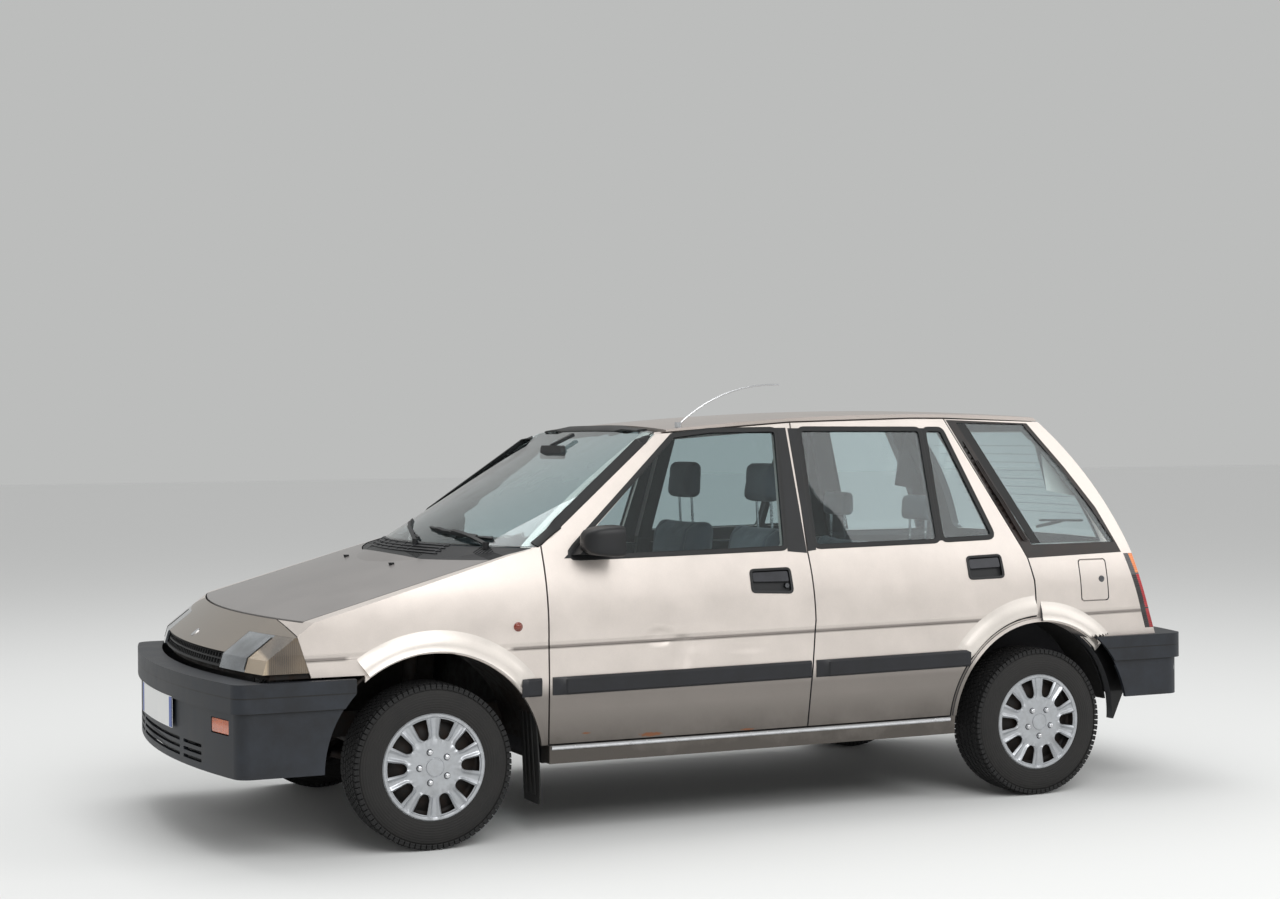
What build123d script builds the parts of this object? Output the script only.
from build123d import *
from math import atan2, cos, degrees, radians, sin, sqrt
import os

# A compact five-door station wagon, whole, standing on its wheels.
# Millimetres. +X is forward, +Y is the car's left, +Z is up. The origin is on the ground
# at the centre of the overall length and width.

os.makedirs("parts", exist_ok=True)

# Driving dimensions
length = 4105
wheelbase = 2500
front_overhang = 800
half_width = 838
roof_top = 1524
tyre_radius = 289
tyre_width = 185
half_track = 720

front_x = length / 2
rear_x = -length / 2
front_axle_x = front_x - front_overhang
rear_axle_x = front_axle_x - wheelbase

# Panels and their gaps
panel_gap = 6
seat_gap = 0.3
skin = 10
frame_depth = 38
door_depth = 96
pillar_out = frame_depth + 6
pillar_in = pillar_out + 36
glass_depth = 5

# Heights
sill_bottom = 270
sill_top = 340
bumper_top = 612

# Side lines that the panels share, seen from the left, as (x, z)
door_front_x = 832
arch_radius = 395
lip_radius = 409
lip_proud = 6


def arc_drop(radius, half_chord):
    """Depth of an arc of this radius at half_chord from its middle."""
    return radius - sqrt(radius * radius - half_chord * half_chord)


# Outer form of the body
barrel_radius = 45000
nose_radius = 3000
tail_radius = 2600
roof_length_radius = 11000
roof_cross_radius = 8000
roof_peak_x = -820
shoulder_y = 781
shoulder_z = 1000
tumblehome = 0.4385
reach = 1000

nose_centre_x = 1968 - nose_radius
tail_centre_x = -1950 + tail_radius


def side_limit(inset):
    """Everything to the right of the left body side, moved in by inset."""
    top_z = 1560
    top_y = shoulder_y - (top_z - shoulder_z) * tumblehome
    with BuildPart() as side:
        with BuildSketch(Plane.YZ):
            with BuildLine():
                Polyline(
                    (822 - inset, sill_bottom - 80),
                    (826 - inset, sill_top),
                    (half_width - inset, 560),
                    (half_width - 2 - inset, 700),
                )
                ThreePointArc(
                    (half_width - 2 - inset, 700),
                    (821 - inset, 880),
                    (shoulder_y - inset, shoulder_z),
                )
                Polyline(
                    (shoulder_y - inset, shoulder_z),
                    (top_y - inset, top_z),
                    (-reach, top_z),
                    (-reach, sill_bottom - 80),
                    (822 - inset, sill_bottom - 80),
                )
            make_face()
        revolve(
            axis=Axis((0, half_width - barrel_radius, 0), (0, 0, 1)),
            revolution_arc=3.2,
        )
        mirror(about=Plane.YZ)
    return side.part


def nose_limit(inset):
    """Everything behind the nose and under the bonnet and cowl."""
    low = sill_bottom - 60
    with BuildPart() as nose:
        with BuildSketch(Plane.XZ):
            with BuildLine():
                Polyline(
                    (nose_centre_x, low),
                    (1968 - inset, low),
                    (1968 - inset, 600),
                    (1944 - inset, 684 - 0.3 * inset),
                    (1790 - 0.6 * inset, 806 - inset),
                    (1085, 1012 - inset),
                    (940, 1044 - inset),
                    (nose_centre_x, 1044 - inset),
                    (nose_centre_x, low),
                )
            make_face()
        revolve(axis=Axis((nose_centre_x, 0, 0), (0, 0, 1)))
    return nose.part


def tail_limit(inset):
    """Everything ahead of the tail, which is an arc in plan and leans over at the top."""
    low = sill_bottom - 60
    with BuildPart() as tail:
        with BuildSketch(Plane.XZ):
            with BuildLine():
                Polyline(
                    (-1470 + inset, 1500),
                    (-1390 + inset, 1600),
                    (tail_centre_x, 1600),
                    (tail_centre_x, low),
                    (-1950 + inset, low),
                    (-1950 + inset, 600),
                    (-1848 + inset, 946),
                )
                ThreePointArc(
                    (-1848 + inset, 946),
                    (-1712 + inset, 1222),
                    (-1470 + inset, 1500),
                )
            make_face()
        revolve(axis=Axis((tail_centre_x, 0, 0), (0, 0, 1)))
    return tail.part


def screen_limit(inset):
    """Everything behind the windscreen, a cone whose foot bows more than its head."""
    sections = (
        # z, x at the middle, x at y = 760
        (960, 1260, 945),
        (1540, 170, 168),
    )
    back = -2400
    setback = 1.85 * inset
    side_y = 760
    with BuildPart() as screen:
        for z, middle_x, side_x in sections:
            mid = middle_x - setback
            end = side_x - setback
            with BuildSketch(Plane.XY.offset(z)):
                with BuildLine():
                    ThreePointArc((end, -side_y), (mid, 0), (end, side_y))
                    Polyline(
                        (end, side_y),
                        (end - 60, reach),
                        (back, reach),
                        (back, -reach),
                        (end - 60, -reach),
                        (end, -side_y),
                    )
                make_face()
        loft(ruled=True)
    return screen.part


def roof_limit(inset):
    """Everything under the roof, crowned both ways."""
    crown = arc_drop(roof_cross_radius, reach)
    top = roof_top - inset
    with BuildPart() as roof:
        with BuildSketch(Plane.YZ.offset(roof_peak_x)):
            with BuildLine():
                ThreePointArc((-reach, top - crown), (0, top), (reach, top - crown))
                Polyline(
                    (reach, top - crown),
                    (reach, 700),
                    (-reach, 700),
                    (-reach, top - crown),
                )
            make_face()
        revolve(
            axis=Axis((roof_peak_x, 0, roof_top - roof_length_radius), (0, 1, 0)),
            revolution_arc=14,
        )
        mirror(about=Plane.YZ.offset(roof_peak_x))
    return roof.part


def body_form(inset, ends):
    """The whole closed body, moved in by inset, and by ends at nose, tail, screen and roof."""
    left = side_limit(inset)
    right = mirror(left, about=Plane.XZ)
    nose = nose_limit(ends)
    tail = tail_limit(ends)
    screen = screen_limit(ends)
    roof = roof_limit(ends)
    with BuildPart() as low:
        add(left)
        add(right, mode=Mode.INTERSECT)
        add(nose, mode=Mode.INTERSECT)
        add(tail, mode=Mode.INTERSECT)
    with BuildPart() as high:
        add(left)
        add(right, mode=Mode.INTERSECT)
        add(screen, mode=Mode.INTERSECT)
        add(tail, mode=Mode.INTERSECT)
        add(roof, mode=Mode.INTERSECT)
    with BuildPart() as whole:
        add(low.part)
        add(high.part)
    return whole.part


def side_prism(points, near=0, far=reach, radius=0):
    """A prism across the left half, from an outline in side view."""
    with BuildPart() as prism:
        with BuildSketch(Plane.XZ.offset(-near)) as outline:
            with BuildLine():
                Polyline(*points, close=True)
            make_face()
            if radius:
                fillet(outline.vertices(), radius)
        extrude(amount=near - far)
    return prism.part


def plan_prism(points, low=-100, high=1700, radius=0):
    """A prism upwards, from an outline in plan."""
    with BuildPart() as prism:
        with BuildSketch(Plane.XY.offset(low)) as outline:
            with BuildLine():
                Polyline(*points, close=True)
            make_face()
            if radius:
                fillet(outline.vertices(), radius)
        extrude(amount=high - low)
    return prism.part


def end_prism(points, near, far, radius=0):
    """A prism along X, from an outline in rear view given as (y, z)."""
    with BuildPart() as prism:
        with BuildSketch(Plane.YZ.offset(near)) as outline:
            with BuildLine():
                Polyline(*points, close=True)
            make_face()
            if radius:
                fillet(outline.vertices(), radius)
        extrude(amount=far - near)
    return prism.part


def both_sides(part):
    """The part and its mirror image in one node."""
    other = mirror(part, about=Plane.XZ)
    with BuildPart() as pair:
        add(part)
        add(other)
    return pair.part


def box(x, y, z):
    """A box between three pairs of limits."""
    with BuildPart(Location(((x[0] + x[1]) / 2, (y[0] + y[1]) / 2, (z[0] + z[1]) / 2))) as block:
        Box(x[1] - x[0], y[1] - y[0], z[1] - z[0])
    return block.part


def rod(start, end, radius):
    """A round bar between two points."""
    a = Vector(*start)
    b = Vector(*end)
    with BuildPart() as bar:
        with BuildSketch(Plane(origin=a, z_dir=b - a)):
            Circle(radius)
        extrude(amount=(b - a).length)
    return bar.part


def disc(x, z, radius, y0, y1):
    """A disc about a lateral axis."""
    with BuildPart() as plate:
        with BuildSketch(Plane.XZ.offset(-y0)):
            with Locations((x, z)):
                Circle(radius)
        extrude(amount=y0 - y1)
    return plate.part


def save(part, name):
    """Label one part and write it."""
    part.label = name
    export_step(part, f"parts/{name}.step")


def inset_outline(points, by):
    """An outline in side view with each side moved inwards by a distance."""
    area = sum(p[0] * q[1] - q[0] * p[1] for p, q in zip(points, points[1:] + points[:1]))
    turn = 1 if area > 0 else -1
    sides = []
    for p, q in zip(points, points[1:] + points[:1]):
        run = sqrt((q[0] - p[0]) ** 2 + (q[1] - p[1]) ** 2)
        along = ((q[0] - p[0]) / run, (q[1] - p[1]) / run)
        start = (p[0] - along[1] * by * turn, p[1] + along[0] * by * turn)
        sides.append((start, along))
    corners = []
    for (p, u), (q, v) in zip(sides[-1:] + sides[:-1], sides):
        step = ((q[0] - p[0]) * v[1] - (q[1] - p[1]) * v[0]) / (u[0] * v[1] - u[1] * v[0])
        corners.append((p[0] + u[0] * step, p[1] + u[1] * step))
    return corners


fill_depth = pillar_out - seat_gap
trim_depth = 14
glass_out = 4
glass_in = glass_out + glass_depth
screen_depth = 6
forms = {}


def form(depth, ends=None):
    """The body form at a depth, with another depth at its ends and top if given, built once."""
    key = (depth, depth if ends is None else ends)
    if key not in forms:
        forms[key] = body_form(*key)
    return forms[key]


def layer(outer, inner, keep, *cuts, ends=(None, None)):
    """What lies between two depths of the body form, inside keep and outside the cuts."""
    outside = form(outer, ends[0])
    inside = form(inner, ends[1])
    with BuildPart() as zone:
        add(keep)
        for cut in cuts:
            add(cut, mode=Mode.SUBTRACT)
    with BuildPart() as shell:
        add(outside)
        add(zone.part, mode=Mode.INTERSECT)
        add(inside, mode=Mode.SUBTRACT)
    return shell.part


# Outlines in side view
half_gap = panel_gap / 2
door_foot_z = 338
floor_half = 736
roof_line = ((307, 1436), (-272, 1476), (-820, 1489), (-975, 1488))
roof_line_end = (-1470, 1470)
pillar_b = ((-272, 1476), (-230, 985), (-236, 736), (-203, 338))
pillar_c = ((-975, 1488), (-1213, 934), (-1230, 846), (-1231, 640))
rear_door_arch = 418

front_door_line = (
    (door_front_x, door_foot_z),
    (door_front_x, 1041),
    roof_line[0],
    *pillar_b,
)
rear_door_line = (
    *reversed(pillar_b),
    *roof_line[2:],
    *pillar_c[1:],
    (-1231, door_foot_z),
)
front_window_line = ((771, 982), (239, 1434), (184, 1454), (-219, 1458), (-150, 995))
rear_window_line = ((-300, 1456), (-858, 1452), (-820, 1006), (-258, 999))
vent_window_line = ((-866, 1452), (-957, 1451), (-1086, 1013), (-828, 1008))
quarter_trim_line = (
    (-984, 1482),
    (-1213, 934),
    (-1676, 944),
    (-1606, 1123),
    (-1503, 1286),
    (-1372, 1466),
)
quarter_window_line = (
    (-1030, 1470),
    (-1352, 1462),
    (-1482, 1286),
    (-1582, 1123),
    (-1650, 985),
    (-1246, 985),
)


def arch_disc(axle_x, radius, near=520):
    """The round cut of a wheel arch."""
    return disc(axle_x, tyre_radius, radius, near, reach)


floor_front_x = 826
wall_line = ((690, 0), (690, 955), (714, 978), (500, 1460), (500, 1600), (reach, 1600), (reach, 0))
left_wall = end_prism(wall_line, -2200, 1200)

# Side frames
aperture_inset = 30
front_aperture = side_prism(inset_outline(front_door_line, aperture_inset), 400, reach, 25)
rear_aperture_outline = side_prism(inset_outline(rear_door_line, aperture_inset), 400, reach)
rear_arch_keep = arch_disc(rear_axle_x, rear_door_arch + aperture_inset, 400)
with BuildPart() as rear_aperture:
    add(rear_aperture_outline)
    add(rear_arch_keep, mode=Mode.SUBTRACT)

tail_door_line = ((-652, 632), (652, 632), (652, 945), (500, 1540), (-500, 1540), (-652, 945))
roof_rear_x = -1440
tail_door_opening = end_prism(inset_outline(tail_door_line, -half_gap), -2100, roof_rear_x + 40)
tail_lamp_inner_y = 656
lamp_side_line = ((-1685, 938), (-1770, 637), (-2050, 637), (-2050, 938))
tail_lamp_pocket = side_prism(inset_outline(lamp_side_line, -seat_gap), tail_lamp_inner_y - seat_gap)
quarter_trim_pocket = side_prism(inset_outline(quarter_trim_line, -seat_gap), 400)
quarter_opening = side_prism(inset_outline(quarter_window_line, -seat_gap), 400)
side_region = side_prism(
    (
        (floor_front_x, sill_bottom),
        (floor_front_x, 1034),
        (312, 1424),
        (-272, 1473),
        (-820, 1486),
        (-975, 1485),
        roof_line_end,
        (-1900, 1300),
        (-1900, 380),
        (-1700, 380),
        (-1650, sill_bottom),
    ),
    480,
)
outer_region = side_prism(
    (
        (829, sill_bottom),
        (829, door_foot_z - half_gap),
        (-203, door_foot_z - half_gap),
        (-830, door_foot_z - half_gap),
        (-1100, 520),
        (-1234, 640),
        (-1234, 846),
        (-1216, 934),
        (-978, 1485),
        roof_line_end,
        (-1900, 1300),
        (-1900, 380),
        (-1700, 380),
        (-1650, sill_bottom),
    ),
    480,
)
arch_land = disc(rear_axle_x, tyre_radius, rear_door_arch - half_gap, 480, reach)
with BuildPart() as outer_zone:
    add(outer_region)
    add(arch_land)
under_bumper = box((-2100, -1440), (300, reach), (0, bumper_top))
below_lip = box((-2100, reach), (300, reach), (0, sill_top))
frame_outer = layer(
    0,
    pillar_in,
    outer_zone.part,
    quarter_opening,
    tail_lamp_pocket,
    tail_door_opening,
    arch_disc(rear_axle_x, arch_radius),
    under_bumper,
)
frame_inner = layer(
    pillar_out,
    pillar_in,
    side_region,
    front_aperture,
    rear_aperture.part,
    quarter_opening,
    tail_door_opening,
    arch_disc(rear_axle_x, arch_radius),
)
# Over the doors and up the screen's edges the inner frame reaches the roof and the glass.
screen_seat = glass_out + screen_depth + seat_gap
upper_region = side_prism(
    (
        (floor_front_x, 1031),
        (900, 1031),
        (372, 1430),
        (307, roof_line[0][1] + half_gap - seat_gap),
        (-272, roof_line[1][1] + half_gap - seat_gap),
        (-820, roof_line[2][1] + half_gap - seat_gap),
        (-975, roof_line[3][1] + half_gap - seat_gap),
        (roof_rear_x + 43, 1474),
        (roof_rear_x + 43, 1420),
        (-975, 1420),
        (240, 1380),
        (700, 1031),
    ),
    480,
)
frame_upper = layer(
    pillar_out,
    pillar_in,
    upper_region,
    front_aperture,
    rear_aperture.part,
    quarter_opening,
    tail_door_opening,
    ends=(screen_seat, None),
)
# The beads that the doors and the tailgate close on.
bead_width = 8
bead_depth = frame_depth + seat_gap
front_bead = side_prism(inset_outline(front_door_line, aperture_inset - bead_width), 400)
rear_bead_outline = side_prism(inset_outline(rear_door_line, aperture_inset - bead_width), 400)
rear_bead_arch = arch_disc(rear_axle_x, rear_door_arch + aperture_inset - bead_width, 400)
with BuildPart() as rear_bead:
    add(rear_bead_outline)
    add(rear_bead_arch, mode=Mode.SUBTRACT)
with BuildPart() as bead_zone:
    add(front_bead)
    add(rear_bead.part)
    add(front_aperture, mode=Mode.SUBTRACT)
    add(rear_aperture.part, mode=Mode.SUBTRACT)
    add(side_region, mode=Mode.INTERSECT)
door_beads = layer(bead_depth, pillar_in, bead_zone.part)
tail_bead_width = 26
tail_bead_inside = end_prism(inset_outline(tail_door_line, tail_bead_width), -2100, -1200)
tail_bead_line = (
    (400, 660),
    (655.4, 660),
    (655.4, 940),
    (657, 940),
    (657, 946),
    (530, 1440),
    (400, 1440),
)
tail_bead_zone = end_prism(tail_bead_line, -2100, roof_rear_x)
tail_bead = layer(bead_depth, pillar_in, tail_bead_zone, tail_bead_inside)
arch_lip_zone = arch_disc(rear_axle_x, lip_radius)
arch_lip = layer(
    -lip_proud,
    pillar_out,
    arch_lip_zone,
    arch_disc(rear_axle_x, arch_radius),
    under_bumper,
    below_lip,
)
trim_outer = layer(-seat_gap, trim_depth, quarter_trim_pocket)
fuel_door_line = ((-1456, 760), (-1584, 760), (-1584, 917), (-1456, 917))
fuel_pocket = side_prism(inset_outline(fuel_door_line, -5), 700, reach, 14)
inner_sill = box((-800, 826), (floor_half + seat_gap, 770), (sill_bottom, door_foot_z - 12))
fuel_land = side_prism(inset_outline(fuel_door_line, 9), 700, reach, 10)
below_sill = box((-2200, 2200), (-reach, reach), (0, sill_bottom))
fuel_recess = layer(-seat_gap, skin + seat_gap, fuel_pocket)
fuel_well = layer(0, frame_depth, fuel_land)
with BuildPart() as side_frame:
    add(frame_outer)
    add(frame_inner)
    add(frame_upper)
    add(door_beads)
    add(left_wall, mode=Mode.INTERSECT)
    add(tail_bead)
    add(arch_lip)
    add(inner_sill)
    add(below_sill, mode=Mode.SUBTRACT)
    add(trim_outer, mode=Mode.SUBTRACT)
    add(fuel_recess, mode=Mode.SUBTRACT)
    add(fuel_well, mode=Mode.SUBTRACT)
side_frames = both_sides(side_frame.part)
save(side_frames, "side_frames")

louvre_rows = 2
louvre_count = 15
louvre_pitch = 25
louvre_lean = degrees(atan2(1476 - 952, -1003 + 1222))
with BuildPart() as louvres:
    with BuildSketch(Plane.XZ.offset(-400)):
        with Locations(Location((-1120, 1214), louvre_lean)):
            with GridLocations(louvre_pitch, 17, louvre_count, louvre_rows):
                Rectangle(9, 12)
    extrude(amount=-reach)
louvre_cut = layer(-seat_gap, glass_in, louvres.part)
quarter_trim = layer(
    0, trim_depth - seat_gap, side_prism(quarter_trim_line, 400), quarter_opening
)
with BuildPart() as quarter_trim_cut:
    add(quarter_trim)
    add(louvre_cut, mode=Mode.SUBTRACT)
save(both_sides(quarter_trim_cut.part), "quarter_trims")
quarter_windows = layer(glass_out, glass_in, side_prism(quarter_window_line, 400))
save(both_sides(quarter_windows), "quarter_windows")

# Doors
door_box_top = 958
door_box_inset = 45


def side_door(outline, windows, handle, arch_cut=None):
    """A left door: its frame and skin, the pocket of its handle, and the box below its windows."""
    cuts = [side_prism(window, 400, reach, 18) for window in windows]
    inner_line = inset_outline(outline, door_box_inset)
    box_cuts = [box((-1400, 900), (400, reach), (door_box_top, 1600))]
    if arch_cut:
        cuts.append(arch_disc(rear_axle_x, arch_cut + half_gap, 400))
        box_cuts.append(arch_disc(rear_axle_x, arch_cut + door_box_inset, 400))
    edge_zone = side_prism(inset_outline(outline, half_gap), 400)
    outer = layer(0, frame_depth, edge_zone, *cuts, ends=(0, 0))
    inner = layer(frame_depth - 2, door_depth, side_prism(inner_line, 400), *box_cuts)
    handle_pocket = layer(-seat_gap, trim_depth, side_prism(handle, 700, reach, 10))
    with BuildPart() as door:
        add(outer)
        add(inner)
        add(handle_pocket, mode=Mode.SUBTRACT)
        add(left_wall, mode=Mode.INTERSECT)
    return door.part


def side_glass(windows):
    """The panes of a left door, each in its opening."""
    panes = [
        layer(glass_out, glass_in, side_prism(inset_outline(window, seat_gap), 400, reach, 18))
        for window in windows
    ]
    with BuildPart() as glass:
        add(panes)
    return glass.part


front_windows = [inset_outline(front_window_line, 14)]
rear_windows = [inset_outline(rear_window_line, 10), inset_outline(vent_window_line, 6)]
front_handle = ((-143, 842), (24, 850), (24, 928), (-139, 930))
rear_handle = ((-1087, 866), (-928, 864), (-928, 946), (-1083, 950))
front_door_left = side_door(front_door_line, front_windows, front_handle)
rear_door_left = side_door(rear_door_line, rear_windows, rear_handle, rear_door_arch)
front_glass_left = side_glass(front_windows)
rear_glass_left = side_glass(rear_windows)
for left_part, name in (
    (front_door_left, "front_door"),
    (rear_door_left, "rear_door"),
    (front_glass_left, "front_door_glass"),
    (rear_glass_left, "rear_door_glass"),
):
    save(mirror(left_part, about=Plane.XZ), f"{name}_right")
    save(left_part, f"{name}_left")

# Roof and windscreen
roof_side = side_prism(
    (
        (roof_rear_x + half_gap, 1600),
        (roof_rear_x + half_gap, 1474),
        (-975, 1488 + half_gap),
        (-820, 1489 + half_gap),
        (-272, 1476 + half_gap),
        (307, 1436 + half_gap),
        (330, 1600),
    ),
    -reach,
    reach,
)
# The screen's edge on each side lies along the door frame; its head is a line across the roof.
screen_head_x = 262
screen_side = (
    (door_front_x + 8, 1034),
    (310, 1434),
    (screen_head_x, 1540),
    (1400, 1540),
    (1400, 1034),
)
roof_zone = box((roof_rear_x + half_gap, screen_head_x - half_gap), (-reach, reach), (1400, 1600))
with BuildPart() as roof_keep:
    add(roof_side)
    add(roof_zone, mode=Mode.INTERSECT)
roof_panel = layer(0, fill_depth, roof_keep.part)
save(roof_panel, "roof_panel")

screen_keep = side_prism(screen_side, -reach, reach)
windscreen = layer(glass_out, glass_out + screen_depth, screen_keep)
save(windscreen, "windscreen")

# Front end
bonnet_half = 737
bonnet_rear_corner_x = 1020
bonnet_rear_middle_x = 1196
nose_front_radius = 1790 - nose_centre_x


def bonnet_outline(grow):
    """The bonnet in plan: an arc along the nose and a deeper one along the cowl."""
    half = bonnet_half + grow
    front = nose_front_radius + grow
    corner_x = nose_centre_x + sqrt(front * front - half * half)
    rear_corner = bonnet_rear_corner_x - grow
    with BuildPart() as prism:
        with BuildSketch(Plane.XY.offset(600)):
            with BuildLine():
                ThreePointArc(
                    (corner_x, -half), (nose_centre_x + front, 0), (corner_x, half)
                )
                Line((corner_x, half), (rear_corner, half))
                ThreePointArc(
                    (rear_corner, half),
                    (bonnet_rear_middle_x - grow, 0),
                    (rear_corner, -half),
                )
                Line((rear_corner, -half), (corner_x, -half))
            make_face()
        extrude(amount=600)
    return prism.part


bonnet_gap_cut = bonnet_outline(panel_gap)
lid_depth = trim_depth - seat_gap
bonnet = layer(0, lid_depth, bonnet_outline(0))
save(bonnet, "bonnet")

lamp_band_low = 637
lamp_band_high = 757


def lamp_edge_x(z):
    """The slanted edge between the front fender and the turn lamp, in side view."""
    return 1684 + (z - 618) * 0.328


side_lamp_rear = ((lamp_edge_x(lamp_band_high), lamp_band_high), (lamp_edge_x(618), 618))
fender_line = (
    (door_front_x + half_gap, sill_top - 2),
    (door_front_x + half_gap, 1042),
    (1010, 1042),
    (1760, 900),
    (1737, 798),
    *side_lamp_rear,
    (1684, bumper_top + 8),
    (1500, bumper_top + 8),
    (1500, sill_top - 2),
)
fender_keep = side_prism(fender_line, 560)
front_fender = layer(
    0,
    skin,
    fender_keep,
    arch_disc(front_axle_x, arch_radius),
    bonnet_gap_cut,
    screen_keep,
)
cowl_side = plan_prism(((800, 0), (800, 742), (1500, 742), (1500, 0)), 600, 1100)
with BuildPart() as fender_clear:
    add(front_fender)
    add(cowl_side, mode=Mode.SUBTRACT)
fender_lip = layer(
    -lip_proud,
    skin,
    arch_disc(front_axle_x, lip_radius),
    arch_disc(front_axle_x, arch_radius),
    box((0, 2100), (300, reach), (0, sill_top)),
    box((1500, 2100), (300, reach), (0, bumper_top + 8)),
)
with BuildPart() as fender_lipped:
    add(fender_clear.part)
    add(fender_lip)
save(both_sides(fender_lipped.part), "front_fenders")

lamp_inner_y = 470
lamp_split_y = 672
nose_panel_low = 689
nose_band = end_prism(
    (
        (-reach, lamp_band_high + seat_gap),
        (-lamp_inner_y + 3, lamp_band_high + seat_gap),
        (-lamp_inner_y + 3, nose_panel_low),
        (lamp_inner_y - 3, nose_panel_low),
        (lamp_inner_y - 3, lamp_band_high + seat_gap),
        (reach, lamp_band_high + seat_gap),
        (reach, 900),
        (-reach, 900),
    ),
    1500,
    2100,
)
fender_front_cut = side_prism(
    ((1740, 900), (1740, 798), (1731, 745), (1300, 700), (1300, 900)), -reach, reach
)
nose_panel = layer(0, trim_depth, nose_band, bonnet_gap_cut, fender_front_cut)
save(nose_panel, "nose_panel")

lamp_depth = 60
headlamp_keep = box((1740, 2100), (lamp_inner_y, lamp_split_y - 1), (lamp_band_low, lamp_band_high))
turn_lamp_keep = side_prism(
    (
        (lamp_edge_x(lamp_band_high) + 1, lamp_band_high),
        (lamp_edge_x(lamp_band_low) + 1, lamp_band_low),
        (2100, lamp_band_low),
        (2100, lamp_band_high),
    ),
    lamp_split_y + 1,
)
headlamp = layer(0, lamp_depth, headlamp_keep)
turn_lamp = layer(0, lamp_depth, turn_lamp_keep)
save(both_sides(headlamp), "headlamps")
save(both_sides(turn_lamp), "turn_lamps")

grille_half = 464
grille_top = nose_panel_low - seat_gap
grille_low = lamp_band_low
grille_bars = 31
grille_zone = box((1800, 2100), (-grille_half, grille_half), (grille_low, grille_top))
grille_hole = box((1800, 2100), (-grille_half + 7, grille_half - 7), (grille_low + 7, grille_top - 7))
grille_frame = layer(8, 30, grille_zone, grille_hole)
bar_pitch = 2 * (grille_half - 7) / (grille_bars + 1)
with BuildPart() as grille_rods:
    with Locations((1950, 0, (grille_low + grille_top) / 2)):
        with GridLocations(1, bar_pitch, 1, grille_bars):
            Box(120, 5, grille_top - grille_low - 8)
        Box(120, 2 * grille_half - 4, 5)
grille_bar_set = layer(12, 26, grille_rods.part)
with BuildPart() as grille:
    add(grille_frame)
    add(grille_bar_set)
save(grille.part, "grille")

# Bumpers
bumper_low = 294
bumper_step = 514
bumper_half = 843
bumper_wall = 14


def front_bumper_plan(inward):
    """The front bumper's outer edge in plan, moved in."""
    half = bumper_half - inward
    with BuildSketch(Plane.XY) as plan:
        with BuildLine():
            Polyline(
                (1900 - inward, half - 3),
                (1480, half),
                (1480, -half),
                (1900 - inward, -half + 3),
            )
            ThreePointArc(
                (1900 - inward, -half + 3),
                (1935 - inward, -half + 14),
                (1958 - inward, -half + 48),
            )
            ThreePointArc(
                (1958 - inward, -half + 48), (front_x - inward, 0), (1958 - inward, half - 48)
            )
            ThreePointArc(
                (1958 - inward, half - 48),
                (1935 - inward, half - 14),
                (1900 - inward, half - 3),
            )
        make_face()
    return plan.sketch


bumper_cap_low = bumper_top - 14
bumper_setback = 12
upper_plan = front_bumper_plan(0)
lower_plan = front_bumper_plan(bumper_setback)
lower_hollow_plan = front_bumper_plan(bumper_setback + bumper_wall)
upper_hollow_plan = front_bumper_plan(bumper_wall)
body_clear = form(-seat_gap)
cap_zone = box((-2200, 2200), (-reach, reach), (bumper_cap_low, 700))
with BuildPart() as bumper_body_cut_block:
    add(body_clear)
    add(cap_zone, mode=Mode.INTERSECT)
bumper_body_cut = bumper_body_cut_block.part
bracket_y = (395, 447)
bracket_z = (380, 430)
rail_front_x = 1890
front_bracket = box((rail_front_x + seat_gap, 2006), bracket_y, bracket_z)
front_bracket_right = mirror(front_bracket, about=Plane.XZ)
front_wheel_room = arch_disc(front_axle_x, arch_radius, -reach)
front_bumper_rear = box((1300, 1537), (-reach, reach), (0, 800))
bumper_lamp_box = box((1900, 2100), (615, 750), (434, 488))
bumper_lamp_depth = 9
bumper_lamp_floor = front_bumper_plan(bumper_setback + bumper_lamp_depth)
with BuildPart() as bumper_lamp_recess:
    add(bumper_lamp_box)
    with BuildSketch(Plane.XY.offset(420)):
        add(bumper_lamp_floor)
    extrude(amount=80, mode=Mode.SUBTRACT)
bumper_lamp_recess_right = mirror(bumper_lamp_recess.part, about=Plane.XZ)
with BuildPart() as valance_slots:
    with BuildSketch(Plane.YZ.offset(1900)):
        with Locations((0, 350)):
            with GridLocations(1, 26, 1, 3):
                SlotOverall(620, 12)
        for slot_y in (-440, 440):
            with Locations((slot_y, 350)):
                with GridLocations(1, 26, 1, 3):
                    SlotOverall(180, 12)
    extrude(amount=200)
with BuildPart() as bumper_front_shape:
    with BuildSketch(Plane.XY.offset(bumper_step)):
        add(upper_plan)
    extrude(amount=bumper_top - bumper_step)
    with BuildSketch(Plane.XY.offset(bumper_low)):
        add(lower_plan)
    extrude(amount=bumper_step - bumper_low)
    with BuildSketch(Plane.XY.offset(bumper_low - 20)):
        add(lower_hollow_plan)
    extrude(amount=bumper_step - bumper_low + 4, mode=Mode.SUBTRACT)
    with BuildSketch(Plane.XY.offset(bumper_step - 20)):
        add(upper_hollow_plan)
    extrude(amount=bumper_top - bumper_step + 8, mode=Mode.SUBTRACT)
    add(bumper_body_cut, mode=Mode.SUBTRACT)
    add(front_wheel_room, mode=Mode.SUBTRACT)
    add(front_bumper_rear, mode=Mode.SUBTRACT)
    add(valance_slots.part, mode=Mode.SUBTRACT)
    add(bumper_lamp_recess.part, mode=Mode.SUBTRACT)
    add(bumper_lamp_recess_right, mode=Mode.SUBTRACT)
    add(front_bracket)
    add(front_bracket_right)
save(bumper_front_shape.part, "front_bumper")


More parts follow.
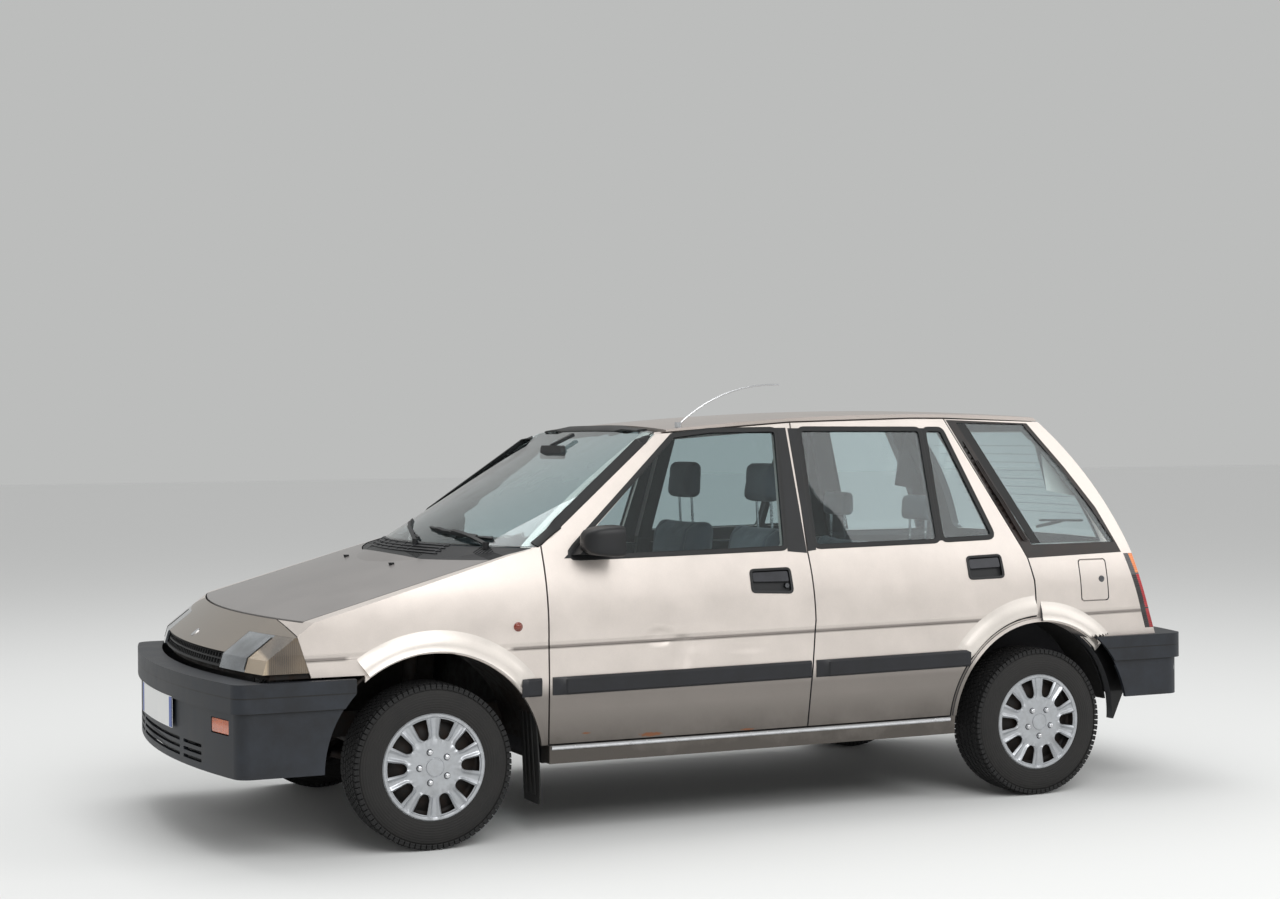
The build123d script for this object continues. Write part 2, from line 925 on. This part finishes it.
def rear_bumper_plan(inward):
    """The rear bumper's outer edge in plan, moved in."""
    half = bumper_half - 6 - inward
    x = rear_x + inward
    with BuildSketch(Plane.XY) as plan:
        with BuildLine():
            Polyline(
                (x + 180, half - 2),
                (-1400, half),
                (-1400, -half),
                (x + 180, -half + 2),
            )
            ThreePointArc((x + 180, -half + 2), (x + 135, -half + 14), (x + 108, -half + 50))
            ThreePointArc((x + 108, -half + 50), (x, 0), (x + 108, half - 50))
            ThreePointArc((x + 108, half - 50), (x + 135, half - 14), (x + 180, half - 2))
        make_face()
    return plan.sketch


rear_bumper_low = 366
rear_upper_plan = rear_bumper_plan(0)
rear_lower_plan = rear_bumper_plan(bumper_setback)
rear_lower_hollow = rear_bumper_plan(bumper_setback + bumper_wall)
rear_upper_hollow = rear_bumper_plan(bumper_wall)
rear_bracket = box((-1990, -1907.5), (470, 530), (440, 500))
rear_bracket_right = mirror(rear_bracket, about=Plane.XZ)
rear_wheel_room = arch_disc(rear_axle_x, rear_door_arch - 3, -reach)
rear_bumper_front = box((-1460, -1300), (-reach, reach), (0, 800))
with BuildPart() as bumper_rear_shape:
    with BuildSketch(Plane.XY.offset(bumper_step)):
        add(rear_upper_plan)
    extrude(amount=bumper_top - bumper_step)
    with BuildSketch(Plane.XY.offset(rear_bumper_low)):
        add(rear_lower_plan)
    extrude(amount=bumper_step - rear_bumper_low)
    with BuildSketch(Plane.XY.offset(rear_bumper_low - 20)):
        add(rear_lower_hollow)
    extrude(amount=bumper_step - rear_bumper_low + 4, mode=Mode.SUBTRACT)
    with BuildSketch(Plane.XY.offset(bumper_step - 20)):
        add(rear_upper_hollow)
    extrude(amount=bumper_top - bumper_step + 8, mode=Mode.SUBTRACT)
    add(bumper_body_cut, mode=Mode.SUBTRACT)
    add(rear_wheel_room, mode=Mode.SUBTRACT)
    add(rear_bumper_front, mode=Mode.SUBTRACT)
    add(rear_bracket)
    add(rear_bracket_right)
save(bumper_rear_shape.part, "rear_bumper")

# Tail
tail_lamp_keep = side_prism(lamp_side_line, tail_lamp_inner_y)
tail_lamp = layer(0, fill_depth, tail_lamp_keep)
save(both_sides(tail_lamp), "tail_lamps")
tail_door_keep = end_prism(inset_outline(tail_door_line, half_gap), -2100, roof_rear_x - half_gap)
tail_window_line = ((-560, 990), (560, 990), (452, 1432), (-452, 1432))
tail_window = end_prism(tail_window_line, -2100, -1300, 30)
plate_recess = layer(
    -seat_gap, trim_depth, end_prism(((-280, 720), (280, 720), (280, 860), (-280, 860)), -2100, -1700, 20)
)
tail_door_plain = layer(0, frame_depth, tail_door_keep, tail_window)
with BuildPart() as tail_door:
    add(tail_door_plain)
    add(plate_recess, mode=Mode.SUBTRACT)
save(tail_door.part, "tailgate")
tail_glass = layer(
    glass_out, glass_in, end_prism(inset_outline(tail_window_line, seat_gap), -2100, -1300, 30)
)
save(tail_glass, "tailgate_glass")
rear_panel_half = 690 - seat_gap
rear_panel_top = 626
rear_panel_skin = layer(
    0, frame_depth, box((-2100, -1700), (-rear_panel_half, rear_panel_half), (400, rear_panel_top))
)
rear_panel_head = layer(
    skin, pillar_in, box((-2100, -1700), (-620, 620), (rear_panel_top - 30, rear_panel_top))
)
rear_panel_bead = layer(
    bead_depth, pillar_in, box((-2100, -1700), (-620, 620), (rear_panel_top - 30, rear_panel_top + 26))
)
with BuildPart() as rear_panel:
    add(rear_panel_skin)
    add(rear_panel_head)
    add(rear_panel_bead)
save(rear_panel.part, "rear_panel")
fuel_door = layer(0, skin, side_prism(fuel_door_line, 700, reach, 10))
save(fuel_door, "fuel_door")

# Floor
floor_low = 262
floor_top = 282
rear_floor_low = 398
rear_floor_top = 418
kick_x = -720
floor_rear_x = -1930
house_radius = 400
house_inner_y = 512
wall = 8
dash_low = 640
floor_wall_top = dash_low - seat_gap
floor_outline = side_prism(
    (
        (floor_front_x, floor_low),
        (floor_front_x, floor_wall_top),
        (floor_front_x - 14, floor_wall_top),
        (floor_front_x - 14, 420),
        (700, floor_top),
        (kick_x, floor_top),
        (kick_x - 30, rear_floor_top),
        (floor_rear_x, rear_floor_top),
        (floor_rear_x, rear_floor_low),
        (kick_x - 50, rear_floor_low),
        (kick_x - 20, floor_low),
    ),
    -reach,
    reach,
)
tunnel_half = 110
tunnel_top = 395
tunnel_low = floor_low - 1
tunnel = end_prism(
    ((-tunnel_half, tunnel_low), (-70, tunnel_top), (70, tunnel_top), (tunnel_half, tunnel_low)),
    kick_x - 20,
    floor_front_x - 6,
)
tunnel_hollow = end_prism(
    ((-tunnel_half + 16, 200), (-58, tunnel_top - 14), (58, tunnel_top - 14), (tunnel_half - 16, 200)),
    kick_x - 100,
    floor_front_x + 20,
)
well_x = -1552
well_y = 0
well_radius = 234
with BuildPart() as wells:
    with Locations((well_x, well_y, 300)):
        Cylinder(well_radius + 6, 210, align=(Align.CENTER, Align.CENTER, Align.MIN))
with BuildPart() as well_hollow:
    with Locations((well_x, well_y, 306)):
        Cylinder(well_radius, 200, align=(Align.CENTER, Align.CENTER, Align.MIN))
left_house = disc(rear_axle_x, tyre_radius, house_radius + wall, house_inner_y, reach)
left_house_hollow = disc(rear_axle_x, tyre_radius, house_radius, house_inner_y + wall, reach)
below_floor = box((-2200, 1200), (-reach, reach), (0, 250))
house_foot = 345
left_house_clear = box((-1800, kick_x - 60), (house_inner_y - 1, reach), (0, house_foot))
well_top_cut = box((-2200, 0), (-reach, reach), (rear_floor_top, 900))
with BuildPart() as floor_core:
    add(floor_outline)
    add(tunnel)
    add(wells.part)
    add(tunnel_hollow, mode=Mode.SUBTRACT)
    add(well_hollow.part, mode=Mode.SUBTRACT)
    add(well_top_cut, mode=Mode.SUBTRACT)
right_house = mirror(left_house, about=Plane.XZ)
right_house_clear = mirror(left_house_clear, about=Plane.XZ)
floor_upper_half = 716
floor_tail_half = 686
floor_sill_block = box((-700, floor_front_x), (-floor_half, floor_half), (0, door_foot_z - 12))
floor_upper_block = plan_prism(
    (
        (floor_front_x, floor_upper_half),
        (rear_axle_x, floor_upper_half),
        (-1800, floor_tail_half),
        (floor_rear_x, floor_tail_half - 40),
        (floor_rear_x, -floor_tail_half + 40),
        (-1800, -floor_tail_half),
        (rear_axle_x, -floor_upper_half),
        (floor_front_x, -floor_upper_half),
    ),
    0,
    1000,
)
with BuildPart() as floor_width:
    add(floor_sill_block)
    add(floor_upper_block)
right_house_hollow = mirror(left_house_hollow, about=Plane.XZ)
inside_rear_panel = form(bead_depth)
with BuildPart() as floor_pan:
    add(floor_core.part)
    add(left_house)
    add(right_house)
    add(left_house_hollow, mode=Mode.SUBTRACT)
    add(right_house_hollow, mode=Mode.SUBTRACT)
    add(below_floor, mode=Mode.SUBTRACT)
    add(left_house_clear, mode=Mode.SUBTRACT)
    add(right_house_clear, mode=Mode.SUBTRACT)
    add(floor_width.part, mode=Mode.INTERSECT)
    add(inside_rear_panel, mode=Mode.INTERSECT)
save(floor_pan.part, "floor_pan")

# Engine bay
bay_rear_x = floor_front_x + seat_gap
bulkhead_wall = 12
wing_y = 445
wing_wall = 12
liner_radius = 402
rail_low = 360
bay_front_x = 1700
support_wall = 20
bulkhead = box((bay_rear_x, bay_rear_x + bulkhead_wall), (-735, 735), (330, 985))
bay_bulkhead_top = box((bay_rear_x, 1010), (-700, 700), (973, 985))
left_wing = box((bay_rear_x, bay_front_x), (wing_y, wing_y + wing_wall), (rail_low, 800))
rail_inner_y = wing_y - 60
left_rail = box(
    (bay_rear_x, rail_front_x), (rail_inner_y, wing_y + wing_wall), (rail_low, rail_low + 90)
)
left_tower = box((front_axle_x - 110, front_axle_x + 110), (wing_y, 640), (640, 820))
left_tower_hollow = box(
    (front_axle_x - 98, front_axle_x + 98), (wing_y + wing_wall, 628), (600, 808)
)
liner_edge_y = 812
left_liner = disc(front_axle_x, tyre_radius, liner_radius + wall, wing_y, liner_edge_y)
left_liner_hollow = disc(front_axle_x, tyre_radius, liner_radius, wing_y - 20, reach)
liner_low_cut = box((700, 1800), (-reach, reach), (0, rail_low))
radiator_support = box((bay_front_x, bay_front_x + support_wall), (-690, 690), (rail_low, 625))
radiator_hole = box((bay_front_x - 20, bay_front_x + 60), (-330, 330), (400, 595))
left_bay = (left_wing, left_rail, left_tower, left_liner)
# A shelf carries the grille and the lamps, and a post on it the bonnet's catch.
lamp_shelf = box((1620, 1950), (-800, 800), (lamp_band_low - 19, lamp_band_low - seat_gap))
catch_post = box((1735, 1765), (-45, 45), (lamp_band_low - 10, 900))
post_fit = form(trim_depth)
with BuildPart() as bonnet_catch:
    add(catch_post)
    add(post_fit, mode=Mode.INTERSECT)
with BuildPart() as bay_side:
    add(left_bay)
    add(left_tower_hollow, mode=Mode.SUBTRACT)
    add(left_liner_hollow, mode=Mode.SUBTRACT)
    add(liner_low_cut, mode=Mode.SUBTRACT)
bay_right = mirror(bay_side.part, about=Plane.XZ)
eye_x = 1830
eye_z = 266
eye_radius = 14
tow_eye = disc(eye_x, eye_z, 30, 390, 402)
tow_eye_web = box((eye_x - 22, eye_x + 22), (390, 402), (eye_z, rail_low + 4))
tow_eye_hole = disc(eye_x, eye_z, eye_radius, 380, 410)
bay_room = form(skin + seat_gap, 30)
with BuildPart() as engine_bay:
    add(bulkhead)
    add(bay_bulkhead_top)
    add(radiator_support)
    add(lamp_shelf)
    add(bay_side.part)
    add(bay_right)
    add(radiator_hole, mode=Mode.SUBTRACT)
    add(bay_room, mode=Mode.INTERSECT)
    add(bonnet_catch.part)
    add(tow_eye)
    add(tow_eye_web)
    add(tow_eye_hole, mode=Mode.SUBTRACT)
save(engine_bay.part, "engine_bay")

engine_y = (-270, 350)
left_engine_mount = box((1250, 1330), (engine_y[1] - 5, rail_inner_y - seat_gap), (400, 440))
right_engine_mount = box((1250, 1330), (-rail_inner_y + seat_gap, engine_y[0] + 5), (400, 440))
with BuildPart() as engine_block:
    with Locations((1290, (engine_y[0] + engine_y[1]) / 2, 560)):
        Box(400, engine_y[1] - engine_y[0], 380)
    fillet(engine_block.edges(), 30)
    add(left_engine_mount)
    add(right_engine_mount)
save(engine_block.part, "engine_block")

# Cowl, wipers, antenna
cowl_zone = plan_prism(((840, -734), (840, 734), (1240, 734), (1240, -734)), 900, 1100)
cowl_top_cut = box((760, 1300), (-reach, reach), (1030.5, 1200))
cowl_plain = layer(glass_out, trim_depth, cowl_zone, bonnet_gap_cut, cowl_top_cut)
cowl_slat_pitch = 13
with BuildPart() as cowl_slats:
    with BuildSketch(Plane.XY.offset(900)):
        for field_y in (-560, -240, 240, 640):
            with Locations((1155 - 125 * (field_y / 555) ** 2, field_y)):
                with GridLocations(1, cowl_slat_pitch, 1, 14):
                    Rectangle(52, 6)
    extrude(amount=300)
with BuildPart() as cowl_grille:
    add(cowl_plain)
    add(cowl_slats.part, mode=Mode.SUBTRACT)
save(cowl_grille.part, "cowl_grille")


def screen_point(y, z, lift):
    """A point on the windscreen at a height, lifted off along its normal."""
    middle_x = 1260 - (z - 960) * 1.879
    bow = (315 - (z - 960) * 0.54) * (y / 760) ** 2
    return (middle_x - bow + lift * 0.47, y, z + lift * 0.88)


def screen_height(x, y):
    """The height of the windscreen's slope, carried on down over the cowl, at a place in plan."""
    bow = (y / 760) ** 2
    return 960 + (1260 - 315 * bow - x) / (1.879 - 0.54 * bow)


wiper_sets = (
    # pivot x, pivot y, blade's outer end y, z, inner end y, z
    (1014, 520, 560, 1066, 120, 1088),
    (1148, -40, 0, 1068, -440, 1090),
)
wiper_lift = 24
wiper_fit = form(glass_out - seat_gap)
wiper_parts = []
for pivot_x, pivot_y, outer_y, outer_z, inner_y, inner_z in wiper_sets:
    foot_z = screen_height(pivot_x, pivot_y) + 7
    blade_start = Vector(*screen_point(outer_y, outer_z, wiper_lift))
    blade_end = Vector(*screen_point(inner_y, inner_z, wiper_lift))
    blade_middle = (blade_start + blade_end) * 0.5
    pivot_head = (pivot_x, pivot_y, foot_z + 45)
    pivot = rod((pivot_x, pivot_y, foot_z - 25), (pivot_x, pivot_y, foot_z + 52), 11)
    arm = rod(pivot_head, blade_middle, 5)
    blade = rod(blade_start, blade_end, 6)
    with BuildPart() as wiper:
        add(pivot)
        add(arm)
        add(blade)
        add(wiper_fit, mode=Mode.SUBTRACT)
    wiper_parts.append(wiper.part)
with BuildPart() as wipers:
    add(wiper_parts)
save(wipers.part, "wipers")

antenna_foot = (190, 545)
antenna_base_z = 1470
antenna_line = ((190, 1466), (80, 1544), (-241, 1620))
antenna_base = rod((*antenna_foot, antenna_base_z - 30), (*antenna_foot, antenna_base_z + 8), 13)
with BuildPart() as antenna:
    with BuildLine(Plane.XZ.offset(-antenna_foot[1])) as whip:
        ThreePointArc(*antenna_line)
    with BuildSketch(Plane(origin=whip.line @ 0, z_dir=whip.line % 0)):
        Circle(3)
    sweep(path=whip.line)
    add(antenna_base)
    add(body_clear, mode=Mode.SUBTRACT)
save(antenna.part, "antenna")

# Cabin
wheel_y = 360
dash_line = (
    (560, 700),
    (540, 880),
    (600, 950),
    (720, 968),
    (floor_front_x, 968),
    (floor_front_x, dash_low),
    (620, dash_low),
)
dash_zone = side_prism(dash_line, -690, 690)
dash_fit = form(door_depth + 6)
column_tilt = 24
steering_centre = Vector(440, wheel_y, 905)
column_axis = Vector(cos(radians(column_tilt)), 0, -sin(radians(column_tilt)))
hub_back = 24
column_start = steering_centre + column_axis * (hub_back + seat_gap)
column_end = steering_centre + column_axis * 180
column = rod(tuple(column_start), tuple(column_end), 32)
binnacle = side_prism(((545, 900), (560, 1010), (640, 1014), (700, 960)), wheel_y - 190, wheel_y + 190, 8)
with BuildPart() as dashboard:
    add(dash_zone)
    add(binnacle)
    add(dash_fit, mode=Mode.INTERSECT)
    add(column)
save(dashboard.part, "dashboard")

steering_plane = Plane(origin=steering_centre, x_dir=(0, 1, 0), z_dir=column_axis)
rim_normal = column_axis.cross(Vector(0, 1, 0))
rim_plane = Plane(origin=steering_centre, x_dir=(0, 1, 0), z_dir=rim_normal)
with BuildPart() as steering_wheel:
    with BuildSketch(rim_plane):
        with Locations((178, 0)):
            Circle(14)
    revolve(axis=Axis(steering_centre, column_axis))
    with BuildSketch(steering_plane.offset(hub_back - 36)):
        Circle(55)
    extrude(amount=36)
    for turn in (0, 120, 240):
        with BuildSketch(steering_plane.offset(-6)):
            with Locations(Rotation(0, 0, turn - 90)):
                with Locations((100, 0)):
                    Rectangle(150, 30)
        extrude(amount=12)
save(steering_wheel.part, "steering_wheel")

seat_y = 360
seat_width = 500


def seat_block(profile, y_middle, width, radius):
    """A padded block from a side outline."""
    with BuildPart() as pad:
        with BuildSketch(Plane.XZ.offset(-(y_middle + width / 2))):
            with BuildLine():
                Polyline(*profile, close=True)
            make_face()
        extrude(amount=width)
        fillet(pad.edges(), radius)
    return pad.part


front_cushion = ((300, 430), (330, 560), (-130, 500), (-160, 400), (280, 400))
front_back = ((-180, 440), (-70, 450), (-90, 560), (-232, 1100), (-320, 1095), (-240, 520))
front_rest = ((-300, 1150), (-210, 1155), (-232, 1330), (-312, 1326))
seat_parts = []
for y_middle in (seat_y, -seat_y):
    seat_parts.append(seat_block(front_cushion, y_middle, seat_width, 28))
    seat_parts.append(seat_block(front_back, y_middle, seat_width - 20, 28))
    seat_parts.append(seat_block(front_rest, y_middle, 250, 28))
    for side in (-60, 60):
        seat_parts.append(rod((-272, y_middle + side, 1060), (-264, y_middle + side, 1200), 6))
    seat_parts.append(box((-120, 240), (y_middle - 190, y_middle + 190), (floor_top + seat_gap, 410)))
with BuildPart() as front_seats:
    add(seat_parts)
save(front_seats.part, "front_seats")

rear_cushion = ((-470, 430), (-450, 560), (-900, 520), (-920, 430))
rear_back = ((-920, 440), (-810, 450), (-830, 560), (-960, 1010), (-1040, 1000), (-1000, 500))
bench_parts = [
    seat_block(rear_cushion, 0, 1000, 28),
    seat_block(rear_back, 0, 1000, 28),
]
rear_rest = ((-1030, 1060), (-955, 1060), (-965, 1190), (-1030, 1190))
for y_middle in (330, -330):
    bench_parts.append(seat_block(rear_rest, y_middle, 240, 24))
    for side in (-60, 60):
        bench_parts.append(rod((-990, y_middle + side, 980), (-992, y_middle + side, 1090), 6))
for side in (-1, 1):
    near, far = sorted((side * 125, side * 480))
    bench_parts.append(box((-700, -490), (near, far), (floor_top + seat_gap, 445)))
with BuildPart() as rear_bench:
    add(bench_parts)
save(rear_bench.part, "rear_bench")

# Underside
tank_height = 120
tank_fillet = 25
with BuildPart() as fuel_tank:
    with Locations((-990, 120, rear_floor_low - seat_gap - tank_height / 2)):
        Box(280, 610, tank_height)
    fillet(fuel_tank.edges(), tank_fillet)
save(fuel_tank.part, "fuel_tank")

exhaust_route = (
    # x, y, z along the middle of the pipe, front to rear
    (1000, 0, 300),
    (-785, 0, 305),
    (-815, -300, 325),
    (-1050, -425, 350),
    (-1480, -425, 350),
)
exhaust_radius = 22
silencer_radius = 62
silencer_z = 328
exhaust_y = -425
pipe_runs = [rod(start, end, exhaust_radius) for start, end in zip(exhaust_route, exhaust_route[1:])]
silencer = rod((-1470, exhaust_y, silencer_z), (-1780, exhaust_y, silencer_z), silencer_radius)
tail_pipe = rod((-1775, exhaust_y, silencer_z), (-1935, exhaust_y, 300), 18)
rear_hanger = rod((-1625, exhaust_y, 380), (-1625, exhaust_y, rear_floor_low - seat_gap), 9)
front_hanger = rod((200, 0, 300), (200, 0, tunnel_top - 14 - seat_gap), 7)
with BuildPart() as exhaust_system:
    add(pipe_runs)
    add(silencer)
    add(tail_pipe)
    add(rear_hanger)
    add(front_hanger)
save(exhaust_system.part, "exhaust_system")

# The wheel turns on an upright kingpin, between the arm's ball joint and the strut's clamp.
kingpin_y = 650
kingpin_radius = 22
kingpin_low = 240
kingpin_high = 385
hub_face_y = half_track - 40 - seat_gap
arm_radius = 22
arm_end_y = kingpin_y + 12
ball_z = kingpin_low - seat_gap - arm_radius
strut_foot_y = 538
suspension_rods = []
for side in (-1, 1):
    suspension_rods += [
        rod((front_axle_x - 20, side * 300, 292), (front_axle_x, side * 560, ball_z), arm_radius),
        rod((front_axle_x, side * 555, ball_z), (front_axle_x, side * arm_end_y, ball_z), arm_radius),
        rod((front_axle_x + 250, side * 400, 300), (front_axle_x + 5, side * 520, 236), 14),
        rod((front_axle_x, side * strut_foot_y, 340), (front_axle_x, side * 532, 807), 26),
        rod(
            (front_axle_x, side * strut_foot_y, 364),
            (front_axle_x, side * (kingpin_y - kingpin_radius - seat_gap), 364),
            12,
        ),
        rod((front_axle_x - 60, side * 420, 310), (front_axle_x - 60, side * 420, rail_low - seat_gap), 26),
    ]
with BuildPart() as front_suspension:
    with Locations((front_axle_x - 60, 0, 300)):
        Box(260, 900, 60)
    add(suspension_rods)
save(front_suspension.part, "front_suspension")

spring_top = rear_floor_low - seat_gap
axle_rods = [rod((rear_axle_x, -hub_face_y, tyre_radius), (rear_axle_x, hub_face_y, tyre_radius), 32)]
for side in (-1, 1):
    axle_rods += [
        rod((rear_axle_x, side * 560, tyre_radius), (-780, side * 560, 300), 24),
        rod((rear_axle_x, side * 487, tyre_radius), (rear_axle_x, side * 487, spring_top), 22),
    ]
with BuildPart() as rear_axle:
    add(axle_rods)
save(rear_axle.part, "rear_axle")

# Mirrors
with BuildPart() as door_mirror:
    with Locations((582, 858, 1052)):
        Box(140, 150, 118)
    fillet(door_mirror.edges(), 22)
    with BuildSketch(Plane.XZ.offset(-766)):
        with BuildLine():
            Polyline((730, 1000), (560, 1002), (560, 1050), (640, 1070), close=True)
        make_face()
    extrude(amount=-60)
mirror_clear = form(-seat_gap)
with BuildPart() as mirror_left:
    add(door_mirror.part)
    add(mirror_clear, mode=Mode.SUBTRACT)
save(mirror_left.part, "door_mirror_left")
save(mirror(mirror_left.part, about=Plane.XZ), "door_mirror_right")

# Wheels
rim_radius = 178
rim_inner_radius = 160
cover_radius = 187
tyre_half = tyre_width / 2
cover_slots = 10


def tyre_at(x, y):
    """A tyre about the lateral axis through x and the axle height."""
    with BuildPart() as tyre:
        with BuildSketch(Plane.YZ.offset(x)):
            with BuildLine():
                Polyline(
                    (y - tyre_half + 18, tyre_radius + rim_radius + 1),
                    (y - tyre_half, tyre_radius + rim_radius + 34),
                    (y - tyre_half, tyre_radius + 250),
                    (y - tyre_half + 20, tyre_radius + tyre_radius - 4),
                    (y, tyre_radius * 2),
                    (y + tyre_half - 20, tyre_radius + tyre_radius - 4),
                    (y + tyre_half, tyre_radius + 250),
                    (y + tyre_half, tyre_radius + rim_radius + 34),
                    (y + tyre_half - 18, tyre_radius + rim_radius + 1),
                    close=True,
                )
            make_face()
        revolve(axis=Axis((x, y, tyre_radius), (0, 1, 0)))
    return tyre.part


def rim_at(x, y, side):
    """A rim with its slotted cover; side is 1 where the face looks along +Y."""
    inner = y - side * (tyre_half - 18)
    outer = y + side * (tyre_half - 18)
    face = y + side * (tyre_half - 2)
    with BuildPart() as rim:
        with BuildSketch(Plane.XZ.offset(-min(inner, outer))):
            with Locations((x, tyre_radius)):
                Circle(rim_radius)
                Circle(rim_inner_radius, mode=Mode.SUBTRACT)
        extrude(amount=-abs(outer - inner))
        with BuildSketch(Plane.XZ.offset(-face)):
            with Locations((x, tyre_radius)):
                Circle(cover_radius)
                with PolarLocations(122, cover_slots):
                    SlotOverall(72, 18)
        extrude(amount=side * 10)
        with BuildSketch(Plane.XZ.offset(-(y + side * 82))):
            with Locations((x, tyre_radius)):
                Circle(rim_radius - 2)
        extrude(amount=side * 14)
        with BuildSketch(Plane.XZ.offset(-(y - side * 40))):
            with Locations((x, tyre_radius)):
                Circle(68)
        extrude(amount=-side * 115)
    return rim.part


wheel_places = (
    # name, axle x, side
    ("front_left", front_axle_x, 1),
    ("front_right", front_axle_x, -1),
    ("rear_left", rear_axle_x, 1),
    ("rear_right", rear_axle_x, -1),
)
for place, axle_x, side in wheel_places:
    save(tyre_at(axle_x, side * half_track), f"tyre_{place}")
    save(rim_at(axle_x, side * half_track, side), f"rim_{place}")

for place, side in (("left", 1), ("right", -1)):
    hub = rod((front_axle_x, side * 630, tyre_radius), (front_axle_x, side * hub_face_y, tyre_radius), 44)
    kingpin = rod(
        (front_axle_x, side * kingpin_y, kingpin_low),
        (front_axle_x, side * kingpin_y, kingpin_high),
        kingpin_radius,
    )
    steering_arm = rod((front_axle_x, side * 645, 290), (front_axle_x - 130, side * 600, 290), 12)
    with BuildPart() as knuckle:
        add(hub)
        add(kingpin)
        add(steering_arm)
    save(knuckle.part, f"knuckle_{place}")
